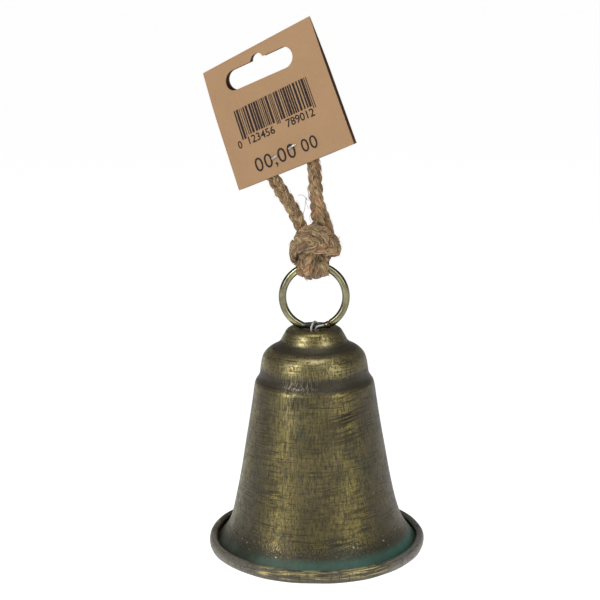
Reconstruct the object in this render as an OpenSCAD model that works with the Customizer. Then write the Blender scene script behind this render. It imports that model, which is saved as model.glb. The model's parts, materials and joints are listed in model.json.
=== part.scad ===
// Hanging bell ornament: a spun sheet-metal bell on a wire ring, a hidden clapper, a jute
// hanging loop hitched on the ring and a folded card tag stapled round the loop.
// Millimetres, +Z up. The origin is the inner top of the jute loop, where a hook or a twig
// carries the ornament. The ring lies in the XZ plane and the bell hangs under it.

/* [Bell] */
// Diameter over the curled rim
rim_d = 90; // [84:1:100]
// Height from the rim to the top of the crown
bell_h = 93.3; // [88:0.1:100]
// Thickness of the sheet metal
sheet_t = 0.7; // [0.5:0.1:0.8]
// Radius of the hole in the crown
crown_hole_r = 3.5; // [3.4:0.1:3.8]
// Height of the curled rim
curl_h = 5.3; // [4.6:0.1:5.6]

/* [Ring] */
// Diameter of the ring, over the wire
ring_d = 29.6; // [28.6:0.1:30.6]
// Diameter of the ring's wire
ring_wire_d = 3; // [2.6:0.1:3]
// Width of the butt joint where the ring's ends meet
ring_gap = 0.25; // [0.15:0.05:0.4]

/* [Hanger wire] */
// Diameter of the hanger's wire
hanger_d = 1.1; // [0.9:0.1:1.1]
// Angle of the hook's plane from the ring's axis
hook_turn = 35; // [30:1:40]
// Diameter of the washer under the crown
washer_d = 10; // [8.6:0.2:11]

/* [Clapper] */
// Diameter of the clapper's ball
ball_d = 18; // [12:1:18]
// Diameter of the clapper's wire
clapper_wire_d = 1.6; // [1.2:0.1:1.6]
// Height of the ball's centre above the rim
ball_rise = 17; // [15:0.5:20]

/* [Jute cord] */
// Diameter of the jute cord
cord_d = 5.4; // [4.6:0.1:5.4]

/* [Card tag] */
// Width of the folded tag
tag_w = 53; // [46:1:56]
// Height of the folded tag
tag_h = 50.5; // [48:0.5:54]
// Thickness of the card
card_t = 0.45; // [0.3:0.05:0.5]
// Length of the hanging slot
slot_w = 32; // [26:1:34]
// Height of the hanging slot
slot_h = 8; // [6:0.5:8]
// Lean of the tag to the left
tag_lean = 22.5; // [18:0.5:25]

/* [Hidden] */

patina = "#5d5330";
brass = "#8f8243";
steel = "#8d8d88";
iron = "#4a4a48";
jute = "#a58763";
kraft = "#b08e6a";

play = 0.05;                                  // gap between parts that touch

// The bell's axis and the heights of the chain of parts that hangs under the loop
axis_x = 15;
ring_z = -70;
ring_r = ring_d / 2 - ring_wire_d / 2;        // to the middle of the wire
hitch_z = ring_z + ring_r;
ring_low_z = ring_z - ring_r;
crown_z = ring_low_z - 0.1;
rim_z = crown_z - bell_h;

// Hook over the ring, shank through the crown, eye below it
wire_r = hanger_d / 2;
hook_gap = 0.32;                              // hook's inside to the ring's wire
hook_r = ring_wire_d / 2 / cos(hook_turn) + wire_r + hook_gap;
hook_z = ring_low_z - 0.3;
dish_z = crown_z - 1.95;                      // top face of the dished middle of the crown
jog_z = dish_z - play - 0.1;
washer_t = 0.8;
washer_z = dish_z - sheet_t - play;           // top face of the washer
eye_r = 1.9;
eye_z = washer_z - washer_t - play - eye_r - wire_r;

// Clapper, hung in the hanger's eye
rod_r = clapper_wire_d / 2;
clapper_eye_r = 2.4;
pivot_z = eye_z - eye_r;                      // middle of the hanger eye's lower wire
clapper_eye_z = pivot_z + wire_r + rod_r + play - clapper_eye_r;
ball_z = rim_z + ball_rise;
rivet_r = 1.8;
rivet_h = 1.2;

// Tag, in its own frame: X across, Z up, Y through the card
tag_yaw = -22;
tag_x = 2.5;                                  // middle of the tag from the loop's middle
tag_top = 31;
cheek = cord_d / 2 + 0.32 + card_t / 2;       // middle plane to the middle of each panel
staple_x = 0.5;
staple_z = -12;
staple_span = 11.5;
staple_turn = -8;
staple_w = 0.7;
staple_t = 0.5;

// Route of the free loop, from the hitch's left side, over the top and back to its right side
loop_route = [
    [10.9, 0, -45], [9.6, -0.2, -40.8], [7.2, -0.5, -35.3], [4.3, -0.7, -30.2],
    [1.4, -0.4, -25.6], [-1.4, 0.6, -21], [-4.1, 1.7, -16], [-6.3, 2.5, -11],
    [-6.9, 2.8, -5.8], [-5, 2, -0.8], [-1, 0.4, 2.5], [4, -1.6, 3.2], [8.7, -3.5, 1.1],
    [11.8, -4.8, -3.2], [13.8, -5.5, -9], [15.1, -5.9, -15], [15.7, -5.9, -20.5],
    [16, -5, -26.5], [16.3, -3.6, -32], [16.6, -2.1, -37], [17, -0.9, -41.5], [17.1, -0.4, -45]
];
loop_normal = [0.375, 0.927, 0];              // across the plane of the loop
cord_sides = 10;
wrap_r = ring_wire_d / 2 + cord_d / 2 + 0.6;  // turns of the hitch round the ring

// Middle surface of the sheet: [radius, height above the rim]. The crown's points rise with
// bell_h, the skirt's spread with rim_d, and the curl is an arc.
lift = bell_h - 93.3;
flare = rim_d / 2 - 45;
crown_line = [[crown_hole_r, 91], [4.7, 91], [5.8, 91.5], [7, 92.6], [8.4, 92.95],
              [9.9, 92.85], [11.1, 92], [11.9, 90.6], [12.7, 89.2], [13.6, 87.5],
              [15.3, 85.9], [18.3, 84.2], [20.4, 82], [21.3, 79.3], [21.8, 76.2],
              [22.1, 74.2], [22.9, 72.4], [24, 70.8], [24.5, 68.6], [25.2, 63.5],
              [26.5, 55.5], [28.1, 46], [29.9, 35.5], [31.8, 25.5], [33.5, 18]];
skirt_line = [[35.2, 12.2], [37, 8.3], [38.9, 5.5], [40.5, 3.5]];
curl_w = 3.6;
curl_mid = [rim_d / 2 - curl_w / 2, curl_h / 2];
curl_arc = [for (a = [-145:15:155])
            curl_mid + [(curl_w - sheet_t) / 2 * cos(a), (curl_h - sheet_t) / 2 * sin(a)]];
bell_line = concat(smooth(concat([for (p = crown_line) p + [0, lift]],
                                 [for (p = skirt_line) p + [flare, 0]]), 4), curl_arc);

// Middle surface of the folded card, from the front's lower edge over the fold to the back's
cheek_line = [[1, tag_top - tag_h], [1, 4], [0.99, 11], [0.88, 16], [0.62, 22],
              [0.36, 27], [0.2, 29.8], [0.1, 30.7]];
card_line = concat([for (p = cheek_line) [-p[0] * cheek, p[1]]], [[0, tag_top]],
                   [for (p = reversed(cheek_line)) [p[0] * cheek, p[1]]]);

function unit(v) = v / norm(v);

// Direction of a path at one of its points
function heading(path, i) =
    unit(path[min(i + 1, len(path) - 1)] - path[max(i - 1, 0)]);

// Catmull-Rom curve through a list of points, with the same number of steps in each span
function curve_at(a, b, c, d, t) =
    0.5 * (2 * b + (c - a) * t + (2 * a - 5 * b + 4 * c - d) * t * t
           + (3 * b - a - 3 * c + d) * t * t * t);
function smooth(p, steps) = [
    for (i = [0:len(p) - 2], k = [0:steps - 1])
    curve_at(p[max(i - 1, 0)], p[i], p[i + 1], p[min(i + 2, len(p) - 1)], k / steps),
    p[len(p) - 1]
];

// Outline of a bent sheet of thickness t whose middle follows a line in a plane
function beside(line, d) = [
    for (i = [0:len(line) - 1])
    let (h = heading(line, i)) line[i] + d * [-h[1], h[0]]
];
function reversed(list) = [for (i = [len(list) - 1:-1:0]) list[i]];
function sheet_outline(line, t) = concat(beside(line, t / 2), reversed(beside(line, -t / 2)));

// Round tube through the points of a route
module swept_tube(route, r, sides, across) {
    n = len(route);
    points = [
        for (i = [0:n - 1])
        let (t = heading(route, i), a = unit(cross(across, t)), b = cross(t, a))
        for (k = [0:sides - 1])
        route[i] + r * (cos(360 * k / sides) * a + sin(360 * k / sides) * b)
    ];
    walls = [
        for (i = [0:n - 2], k = [0:sides - 1])
        let (m = (k + 1) % sides)
        [i * sides + k, (i + 1) * sides + k, (i + 1) * sides + m, i * sides + m]
    ];
    start_cap = [for (k = [0:sides - 1]) k];
    end_cap = [for (k = [sides - 1:-1:0]) (n - 1) * sides + k];
    polyhedron(points, concat([start_cap], walls, [end_cap]));
}

// Straight round bar between two points
module bar(from, to, r) {
    run = to - from;
    translate(from)
        rotate([0, acos(run[2] / norm(run)), atan2(run[1], run[0])])
            cylinder(r = r, h = norm(run), $fn = 32);
}

// Wire bent into a circle about Z
module wire_circle(mid_r, r, turn = 360) {
    rotate_extrude(angle = turn, $fn = 96)
        translate([mid_r, 0])
            circle(r = r, $fn = 32);
}

module in_tag_frame() {
    rotate([0, 0, tag_yaw])
        rotate([0, -tag_lean, 0])
            children();
}

module bell_shell() {
    color(patina)
        translate([axis_x, 0, rim_z])
            rotate_extrude($fn = 128)
                polygon(sheet_outline(bell_line, sheet_t));
}

module hanging_ring() {
    joint_at = -61;                           // the butt joint, right of the lowest point
    open_turn = ring_gap / ring_r * 180 / PI;
    color(brass)
        translate([axis_x, 0, ring_z])
            rotate([90, 0, 0])
                rotate([0, 0, joint_at + open_turn / 2])
                    wire_circle(ring_r, ring_wire_d / 2, 360 - open_turn);
}

// Bend of a wire: a ball a little larger than the wire, over the ends that meet in it
module bend_at(place, r) {
    translate(place)
        sphere(r = 1.06 * r, $fn = 32);
}

module hanger_wire() {
    foot = hook_r * [-sin(hook_turn), -cos(hook_turn), 0];
    foot_top = foot + [0, 0, hook_z];
    foot_low = foot + [0, 0, jog_z];
    shank_top = [0, 0, jog_z];
    tail_top = -foot + [0, 0, hook_z];
    tail_low = tail_top - [0, 0, 0.5];
    color(steel)
        translate([axis_x, 0, 0]) {
            translate([0, 0, hook_z])
                rotate([0, 0, 90 - hook_turn])
                    rotate([90, 0, 0])
                        wire_circle(hook_r, wire_r, 180);
            bend_at(foot_top, wire_r);
            bar(foot_low, foot_top, wire_r);
            bend_at(foot_low, wire_r);
            bar(foot_low, shank_top, wire_r);
            bend_at(shank_top, wire_r);
            bar([0, 0, eye_z + eye_r], shank_top, wire_r);
            bend_at(tail_top, wire_r);
            bar(tail_low, tail_top, wire_r);
            translate([0, 0, eye_z])
                rotate([90, 0, 0])
                    wire_circle(eye_r, wire_r);
        }
}

module stop_washer() {
    color(steel)
        translate([axis_x, 0, washer_z - washer_t])
            difference() {
                cylinder(d = washer_d, h = washer_t, $fn = 64);
                translate([0, 0, -1])
                    cylinder(r = wire_r + 2 * play, h = washer_t + 2, $fn = 32);
            }
}

module clapper_wire() {
    rivet_top = ball_z - ball_d / 2 - play;
    color(steel)
        translate([axis_x, 0, 0]) {
            translate([0, 0, clapper_eye_z])
                rotate([0, 90, 0])
                    wire_circle(clapper_eye_r, rod_r);
            bar([0, 0, rivet_top - rivet_h / 2], [0, 0, clapper_eye_z - clapper_eye_r], rod_r);
            translate([0, 0, rivet_top - rivet_h])
                cylinder(r1 = rivet_r * 0.7, r2 = rivet_r, h = rivet_h, $fn = 32);
        }
}

module clapper_ball() {
    color(iron)
        translate([axis_x, 0, ball_z])
            difference() {
                sphere(d = ball_d, $fn = 64);
                translate([0, 0, -ball_d])
                    cylinder(r = rod_r + play, h = 2 * ball_d, $fn = 32);
            }
}

module jute_loop() {
    color(jute)
        swept_tube(loop_route, cord_d / 2, cord_sides, loop_normal);
}

// Outer shape of the hitch: two turns round the ring under a bight that crosses in front
module jute_knot() {
    turn_x = cord_d / 2 + 0.15;
    bight_r = 5.8;
    bight_half = 4.4;
    bight_z = hitch_z + 9.5;
    color(jute)
        translate([axis_x, 0, 0]) {
            for (side = [-1, 1])
                translate([side * turn_x, 0, hitch_z])
                    rotate([0, 90, 0])
                        wire_circle(wrap_r, cord_d / 2);
            translate([-bight_half, 0, bight_z])
                rotate([0, 90, 0])
                    cylinder(r = bight_r, h = 2 * bight_half, $fn = 48);
            for (side = [-1, 1])
                translate([side * bight_half, 0, bight_z])
                    sphere(r = bight_r, $fn = 48);
        }
}

// Hanging slot: a long round-ended hole with a round notch in the middle of its upper edge
module slot_cutter() {
    end_x = slot_w / 2 - slot_h / 2;
    notch_r = 3.2;
    rotate([90, 0, 0])
        translate([0, 0, -2 * cheek])
            linear_extrude(4 * cheek) {
                square([2 * end_x, slot_h], center = true);
                for (side = [-1, 1])
                    translate([side * end_x, 0])
                        circle(d = slot_h, $fn = 48);
                translate([0, slot_h / 2 - 1])
                    circle(r = notch_r, $fn = 48);
            }
}

module price_tag() {
    slot_z = 21.4;
    color(kraft)
        in_tag_frame()
            translate([tag_x, 0, 0])
                difference() {
                    rotate([90, 0, 90])
                        translate([0, 0, -tag_w / 2])
                            linear_extrude(tag_w)
                                polygon(sheet_outline(card_line, card_t));
                    translate([0, 0, slot_z])
                        slot_cutter();
                }
}

module tag_staple() {
    reach = cheek + card_t / 2;               // middle plane to the outside of each panel
    clinch = 3.3;
    color(steel)
        in_tag_frame()
            translate([staple_x, 0, staple_z])
                rotate([0, staple_turn, 0]) {
                    translate([-staple_span / 2, reach, -staple_w / 2])
                        cube([staple_span, staple_t, staple_w]);
                    for (side = [-1, 1]) {
                        translate([side * (staple_span - staple_t) / 2, 0, 0])
                            cube([staple_t, 2 * (reach + staple_t), staple_w], center = true);
                        translate([side * (staple_span - clinch) / 2, -reach - staple_t / 2, 0])
                            cube([clinch, staple_t, staple_w], center = true);
                    }
                }
}

bell_shell();
hanging_ring();
hanger_wire();
stop_washer();
clapper_wire();
clapper_ball();
jute_loop();
jute_knot();
price_tag();
tag_staple();
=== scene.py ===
import json
import random
from functools import reduce
from math import atan2, copysign, cos, pi, radians, sin, sqrt, tanh
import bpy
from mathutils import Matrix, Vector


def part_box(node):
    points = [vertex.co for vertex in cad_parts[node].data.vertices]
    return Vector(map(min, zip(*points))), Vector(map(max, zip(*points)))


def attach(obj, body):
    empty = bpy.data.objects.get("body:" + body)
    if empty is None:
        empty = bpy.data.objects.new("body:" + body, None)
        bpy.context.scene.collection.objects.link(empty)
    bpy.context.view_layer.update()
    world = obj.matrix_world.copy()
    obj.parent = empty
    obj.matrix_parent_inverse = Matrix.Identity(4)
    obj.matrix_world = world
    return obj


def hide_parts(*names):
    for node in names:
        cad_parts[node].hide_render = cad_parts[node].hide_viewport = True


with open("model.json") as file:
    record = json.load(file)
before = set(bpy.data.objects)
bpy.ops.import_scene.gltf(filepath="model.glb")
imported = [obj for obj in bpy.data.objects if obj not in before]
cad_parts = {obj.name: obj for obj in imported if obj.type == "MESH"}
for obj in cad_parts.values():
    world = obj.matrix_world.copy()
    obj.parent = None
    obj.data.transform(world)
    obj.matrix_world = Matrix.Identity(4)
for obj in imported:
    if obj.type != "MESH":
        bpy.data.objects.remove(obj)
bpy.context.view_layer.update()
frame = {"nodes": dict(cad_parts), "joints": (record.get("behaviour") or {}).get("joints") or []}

from types import SimpleNamespace

import bmesh
import bpy
import numpy as np
from mathutils import Matrix, Vector

MM = 0.001
rng = random.Random(7)

# Places and sizes, in millimetres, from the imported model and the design
joints = {j["name"]: j for j in frame["joints"]}
hitch = Vector(joints["ring_swing"]["pos_m"]) / MM
ring_centre = Vector(joints["bell_swing"]["pos_m"]) / MM
pivot = Vector(joints["clapper_swing"]["pos_m"]) / MM
axis_x = ring_centre.x
rim_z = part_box("bell_shell")[0][2] / MM
ring_wire_r = (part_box("hanging_ring")[1][1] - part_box("hanging_ring")[0][1]) / MM / 2
ring_r = (hitch - ring_centre).length


# -------- camera

def add_camera():
    """The camera stands 0.6 m in front of the bell, a little above it, and looks down at it."""
    cam = bpy.data.cameras.new("camera")
    cam.sensor_width = 36
    cam.lens = 88.6
    cam.clip_start = 0.01
    obj = bpy.data.objects.new("camera", cam)
    bpy.context.scene.collection.objects.link(obj)
    cam.shift_x = -0.0238
    pitch, roll = radians(-12.46), radians(-0.55)
    obj.location = Vector((axis_x, -587.9, 57.9)) * MM
    turned = Matrix.Rotation(pi / 2 + pitch, 3, "X") @ Matrix.Rotation(roll, 3, "Z")
    obj.rotation_euler = turned.to_euler()
    bpy.context.scene.camera = obj


# -------- mesh helpers

def mesh_piece(name, verts, faces, material, smooth=True, attributes=None):
    """A mesh object from points in millimetres."""
    mesh = bpy.data.meshes.new(name)
    mesh.from_pydata([tuple(float(c) * MM for c in v) for v in verts], [], faces)
    mesh.validate()
    mesh.polygons.foreach_set("use_smooth", [smooth] * len(mesh.polygons))
    for key, values in (attributes or {}).items():
        values = np.array(values, float)
        kind, field = ("FLOAT", "value") if values.ndim == 1 else ("FLOAT_VECTOR", "vector")
        mesh.attributes.new(key, kind, "POINT").data.foreach_set(field, values.reshape(-1))
    mesh.materials.append(material)
    obj = bpy.data.objects.new(name, mesh)
    bpy.context.scene.collection.objects.link(obj)
    return obj


def joined(parts):
    """One list of points, faces, shades and grain places from several parts; the last two may be missing."""
    verts, faces, shades, grain = [], [], [], []
    for v, f, *marks in parts:
        start = len(verts)
        verts.extend(v)
        faces.extend([tuple(i + start for i in face) for face in f])
        for total, mark in zip((shades, grain), marks):
            total.extend(mark)
    return verts, faces, shades, grain


def curve_through(points, step, closed=False):
    """Points every `step` along a Catmull-Rom curve through the given points."""
    p = [np.array(q, float) for q in points]
    n = len(p)
    dense = []
    for i in range(n if closed else n - 1):
        if closed:
            a, b, c, d = p[(i - 1) % n], p[i], p[(i + 1) % n], p[(i + 2) % n]
        else:
            a, b, c, d = p[max(i - 1, 0)], p[i], p[i + 1], p[min(i + 2, n - 1)]
        for t in np.linspace(0, 1, 24, endpoint=False):
            dense.append(0.5 * (2 * b + (c - a) * t + (2 * a - 5 * b + 4 * c - d) * t * t
                                + (3 * b - a - 3 * c + d) * t ** 3))
    dense.append(p[0] if closed else p[-1])
    dense = np.array(dense)
    run = np.concatenate([[0], np.cumsum(np.linalg.norm(np.diff(dense, axis=0), axis=1))])
    count = max(2, int(round(run[-1] / step)) + 1)
    at = np.linspace(0, run[-1], count)
    return np.stack([np.interp(at, run, dense[:, k]) for k in range(3)], axis=1), run[-1]


def unit(v):
    """The vectors at length one."""
    return v / np.maximum(np.linalg.norm(v, axis=-1, keepdims=True), 1e-9)


def smooth(t):
    """Soft step from 0 to 1."""
    return t * t * (3 - 2 * t)


def frames_along(path, across):
    """Side and normal at each point of a path; across is the wished normal, one or one per point."""
    tangent = unit(np.gradient(path, axis=0))
    across = np.broadcast_to(np.array(across, float), path.shape)
    normal = unit(across - np.sum(across * tangent, axis=1, keepdims=True) * tangent)
    return np.cross(tangent, normal), normal


def skin(rings, loop=False):
    """Points and faces of a tube through rings, an array of count x sides x 3."""
    count, sides = rings.shape[:2]
    faces = []
    for i in range(count if loop else count - 1):
        a, b = i * sides, ((i + 1) % count) * sides
        for k in range(sides):
            m = (k + 1) % sides
            faces.append((a + k, a + m, b + m, b + k))
    if not loop:
        faces.append(tuple(range(sides))[::-1])
        faces.append(tuple((count - 1) * sides + k for k in range(sides)))
    return [tuple(v) for v in rings.reshape(-1, 3)], faces


def full_turn(sides):
    """Evenly spaced angles round a circle."""
    return np.linspace(0, 2 * pi, sides, endpoint=False)


def tube(path, radii, across, sides):
    """Points and faces of a round tube along a path."""
    side, normal = (v[:, None, :] for v in frames_along(path, across))
    turn = full_turn(sides)[None, :, None]
    return skin(path[:, None, :] + radii[:, None, None] * (np.cos(turn) * side + np.sin(turn) * normal))


def wire(path, radius, across, sides, blunt=False):
    """Round wire along a path, its last points drawn in to round the cut ends when blunt."""
    radii = np.full(len(path), radius)
    if blunt:
        for k, share in enumerate((0.55, 0.85)):
            radii[k] = radii[-1 - k] = radius * share
    return tube(path, radii, across, sides)


# -------- materials

class Shader:
    """A material's node tree, with short calls for the nodes used here."""

    def __init__(self, name):
        self.material = bpy.data.materials.new(name)
        self.material.use_nodes = True
        self.tree = self.material.node_tree
        self.bsdf = self.tree.nodes["Principled BSDF"]
        self.place = self.result("ShaderNodeTexCoord", "Object", {})

    def put(self, socket, value):
        if hasattr(value, "is_output"):
            self.tree.links.new(value, socket)
        else:
            socket.default_value = value

    def result(self, kind, output, inputs, **settings):
        """One output of a new node, its inputs linked or set."""
        node = self.tree.nodes.new(kind)
        for key, value in settings.items():
            setattr(node, key, value)
        for key, value in inputs.items():
            self.put(node.inputs[key], value)
        return node.outputs[output]

    def noise(self, flat, upright, detail, rough, distort=0.0, tilt=0.0):
        """Noise over the object, its scale per millimetre level and upright, leaned by tilt."""
        scale = (MM / flat, MM / flat, MM / upright)
        given = {"Vector": self.place, "Rotation": (0, tilt, 0), "Scale": scale}
        place = self.result("ShaderNodeMapping", "Vector", given, vector_type="TEXTURE")
        return self.noise_at(place, 1.0, detail, rough, distort)

    def noise_at(self, place, scale, detail, rough, distort=0.0):
        given = {"Vector": place, "Scale": scale, "Detail": detail, "Roughness": rough, "Distortion": distort}
        return self.result("ShaderNodeTexNoise", "Fac", given)

    def ramp(self, value, *stops):
        """Stops are (position, grey or colour)."""
        result = self.result("ShaderNodeValToRGB", "Color", {"Fac": value})
        ramp = result.node.color_ramp
        while len(ramp.elements) < len(stops):
            ramp.elements.new(0.5)
        for element, (at, tone) in zip(ramp.elements, stops):
            element.position = at
            element.color = (tone, tone, tone, 1) if isinstance(tone, (int, float)) else (*tone, 1)
        return result

    def math(self, operation, a, b=0.0, clamp=False):
        return self.result("ShaderNodeMath", 0, {0: a, 1: b}, operation=operation, use_clamp=clamp)

    def times(self, *values):
        """Product of all the values."""
        return reduce(lambda a, b: self.math("MULTIPLY", a, b), values)

    def most(self, *values):
        """Largest of all the values."""
        return reduce(lambda a, b: self.math("MAXIMUM", a, b), values)

    def rest(self, value, share=1.0):
        """One minus a share of the value."""
        return self.math("SUBTRACT", 1.0, value if share == 1.0 else self.times(value, share))

    def mix(self, share, a, b, blend="MIX"):
        a, b = ((*tone, 1) if isinstance(tone, tuple) else tone for tone in (a, b))
        return self.result("ShaderNodeMix", 2, {0: share, 6: a, 7: b}, data_type="RGBA", blend_type=blend)

    def layered(self, colour, *layers):
        """The colour with layers of (share, tone) laid over it in turn."""
        return reduce(lambda under, layer: self.mix(layer[0], under, layer[1]), layers, colour)

    def along(self, axis):
        return self.result("ShaderNodeSeparateXYZ", axis, {0: self.place})

    def between(self, value, low, high):
        """0 at low, 1 at high, clamped; value in metres, low and high in millimetres."""
        limits = {"Value": value, "From Min": low * MM, "From Max": high * MM}
        return self.result("ShaderNodeMapRange", "Result", limits)

    def band(self, value, low, inner_low, inner_high, high):
        """1 between the inner limits, falling to 0 at the outer ones; limits in millimetres."""
        return self.times(self.between(value, low, inner_low), self.between(value, high, inner_high))

    def attribute(self, name, output="Fac"):
        return self.result("ShaderNodeAttribute", output, {}, attribute_name=name)

    def bump(self, *layers):
        """Layers are (height, strength, depth in millimetres), each laid on the one before."""
        normal = {}
        for height, strength, depth in layers:
            given = {"Height": height, "Strength": strength, "Distance": depth * MM}
            normal = {"Normal": self.result("ShaderNodeBump", "Normal", {**given, **normal})}
        self.put(self.bsdf.inputs["Normal"], normal["Normal"])

    def set(self, **sockets):
        for key, value in sockets.items():
            self.put(self.bsdf.inputs[key.replace("_", " ")], value)
        return self.material


def patina_grain(s):
    """The noises, the places and the painted patches that the patina is made of."""
    g = SimpleNamespace()
    # Brush hairs run up the bell, scratches round it, the long ones rising a little to the right
    g.upright = s.noise(0.9, 0.040, 4, 0.65)
    g.hairs = s.noise(1.9, 0.060, 2, 0.55)
    g.level = s.noise(0.055, 1.3, 3, 0.6)
    g.threads = s.noise(0.10, 2.3, 2, 0.55)
    g.long_cuts = s.noise(0.060, 1.15, 0.4, 0.5, 0.15, tilt=radians(-10))
    g.short_cuts = s.noise(0.14, 1.5, 0.4, 0.5, tilt=radians(-4))
    g.lip_streaks = s.noise(0.07, 2.6, 3, 0.6, 0.3)
    g.clouds = s.noise(0.040, 0.05, 3, 0.5)
    g.blotch = s.noise(0.11, 0.085, 4, 0.62)
    g.fleck = s.noise(1.2, 1.0, 5, 0.7)
    g.specks = s.noise(0.8, 0.6, 2, 0.5)
    g.height = s.math("SUBTRACT", s.along("Z"), rim_z * MM)
    for name in ("outside", "lip", "brushed", "scored", "rubbed", "shined"):
        setattr(g, name, s.attribute(name))
    # Bands round the form: two hollows, and the turns that stand out
    g.hollow = s.most(s.band(g.height, 71.0, 72.2, 75.8, 78.2), s.band(g.height, 84.2, 85.4, 87.6, 88.8))
    g.ridge = s.band(g.height, 69.9, 70.3, 70.8, 71.2)
    g.shoulder = s.band(g.height, 75.8, 79.0, 84.0, 85.6)
    g.neck = s.band(g.height, 87.4, 89.0, 91.4, 92.6)
    return g


def patina_gold(s, g):
    """Share of gold: broad upright brushing crossed by hairlines, none in the hollows and the foot."""
    # The gold patches hold dry brushing round the bell; at the front columns and the crown's front they are
    # painted highlights.
    where = s.times(s.ramp(g.blotch, (0.36, 0.40), (0.54, 1.0)), g.brushed)
    threads = s.most(s.ramp(g.hairs, (0.47, 0.0), (0.54, 1.0)), s.ramp(g.threads, (0.50, 0.0), (0.57, 0.8)))
    broad = s.times(s.ramp(g.upright, (0.38, 0.15), (0.60, 0.9)), s.ramp(g.level, (0.36, 0.45), (0.56, 1.0)))
    foot = s.math("ADD", g.height, s.times(s.math("SUBTRACT", g.hairs, 0.5), 22 * MM))
    gold = s.times(s.math("ADD", broad, s.times(threads, 0.5)), where, s.between(foot, 8.5, 12.5),
                   s.rest(g.hollow, 0.95))
    # The raised turns of the form take more of it
    raised = s.times(s.most(g.ridge, g.shoulder, g.neck), s.ramp(g.fleck, (0.36, 0.15), (0.52, 1.0)),
                     s.math("ADD", s.times(g.brushed, 0.8), 0.2, clamp=True))
    return s.math("MAXIMUM", gold, raised, clamp=True)


def patina_green(s, g):
    """Share of verdigris in the gutter, thicker towards the front right."""
    toward = s.math("SUBTRACT", s.times(s.along("X"), 9.5), s.times(s.along("Y"), 5.0))
    toward = s.math("SUBTRACT", toward, 0.10)
    gutter = s.times(s.between(g.height, 7.8, 5.6), s.rest(g.lip), g.outside)
    amount = s.math("ADD", s.ramp(g.blotch, (0.35, 0.2), (0.6, 0.65)), toward)
    return s.math("MULTIPLY", gutter, amount, clamp=True)


def patina_material():
    """Dark olive patina, gold dry brushing with painted highlights, scratched round the bell, green in the
    gutter.
    """
    s = Shader("patinated_iron")
    g = patina_grain(s)
    gold_share = patina_gold(s, g)
    green_share = patina_green(s, g)
    # The lip: dark brown where it takes painted highlights, light grey elsewhere as painted reflection of the
    # white surround
    lip_tone_and_reflection = s.mix(g.shined, (0.195, 0.186, 0.172), (0.072, 0.063, 0.045))
    gold = s.ramp(g.fleck, (0.34, (0.125, 0.100, 0.032)), (0.62, (0.27, 0.225, 0.085)))
    # Painted highlights: fine bright hairlines on the shoulder and the crown, within the gold patches
    hairlines = s.most(s.ramp(g.hairs, (0.53, 0.0), (0.60, 0.8)),
                       s.ramp(g.short_cuts, (0.37, 0.7), (0.42, 0.0)))
    painted_highlight_hairlines = s.times(s.most(g.shoulder, g.neck), g.brushed, hairlines, 0.75)
    # Gold streaks along the lip, mostly at its front: painted highlights
    streak = s.times(g.lip, s.ramp(g.lip_streaks, (0.50, 0.0), (0.56, 1.0)),
                     s.ramp(g.blotch, (0.40, 0.2), (0.55, 1.0)), s.between(g.height, 0.6, 2.2), g.shined)
    # Dark scratches and hairlines
    cuts = s.most(s.ramp(g.long_cuts, (0.560, 0.0), (0.574, 1.0)),
                  s.ramp(g.short_cuts, (0.60, 0.0), (0.64, 0.8)))
    cuts = s.times(cuts, g.scored)
    dark_lines = s.most(cuts, s.ramp(g.threads, (0.365, 0.7), (0.395, 0.0)),
                        s.ramp(g.hairs, (0.375, 0.6), (0.405, 0.0)))
    pits = s.ramp(g.fleck, (0.31, 0.8), (0.37, 0.0))
    rubs = s.times(s.ramp(g.hairs, (0.54, 0.0), (0.60, 0.8)), g.rubbed)
    dust = s.times(s.ramp(g.specks, (0.69, 0.0), (0.74, 1.0)), s.band(g.height, 6.0, 7.0, 9.0, 13.0))
    # Olive in clouds, browner in blotches, darker in the hollows; the inside of the bell is duller
    colour = s.ramp(g.clouds, (0.36, (0.054, 0.043, 0.024)), (0.52, (0.044, 0.036, 0.015)),
                    (0.66, (0.033, 0.034, 0.020)))
    colour = s.layered(
        colour, (s.ramp(g.blotch, (0.47, 0.0), (0.60, 0.7)), (0.060, 0.045, 0.028)),
        (s.times(g.hollow, 0.7), (0.027, 0.022, 0.013)), (s.times(g.lip, 0.85), lip_tone_and_reflection),
        (gold_share, gold), (painted_highlight_hairlines, (0.38, 0.34, 0.19)), (streak, (0.48, 0.40, 0.16)),
        (s.times(dark_lines, 0.9), (0.016, 0.013, 0.007)), (pits, (0.026, 0.023, 0.014)),
        (rubs, (0.24, 0.215, 0.145)), (green_share, (0.030, 0.094, 0.068)), (dust, (0.40, 0.37, 0.28)),
        (s.times(s.rest(g.outside), 0.8), (0.045, 0.040, 0.030)))
    rough = s.math("ADD", s.ramp(g.fleck, (0.3, 0.56), (0.7, 0.42)), s.times(dark_lines, 0.2))
    rough = s.math("SUBTRACT", rough, s.times(gold_share, 0.15))
    metal = s.math("ADD", s.times(gold_share, 0.5), 0.45, clamp=True)
    metal = s.times(metal, s.rest(green_share, 0.7))
    s.bump((s.rest(cuts), 0.4, 0.12), (g.level, 0.25, 0.10), (g.upright, 0.25, 0.10), (g.fleck, 0.35, 0.08))
    return s.set(Base_Color=colour, Metallic=metal, Roughness=rough)


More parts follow.
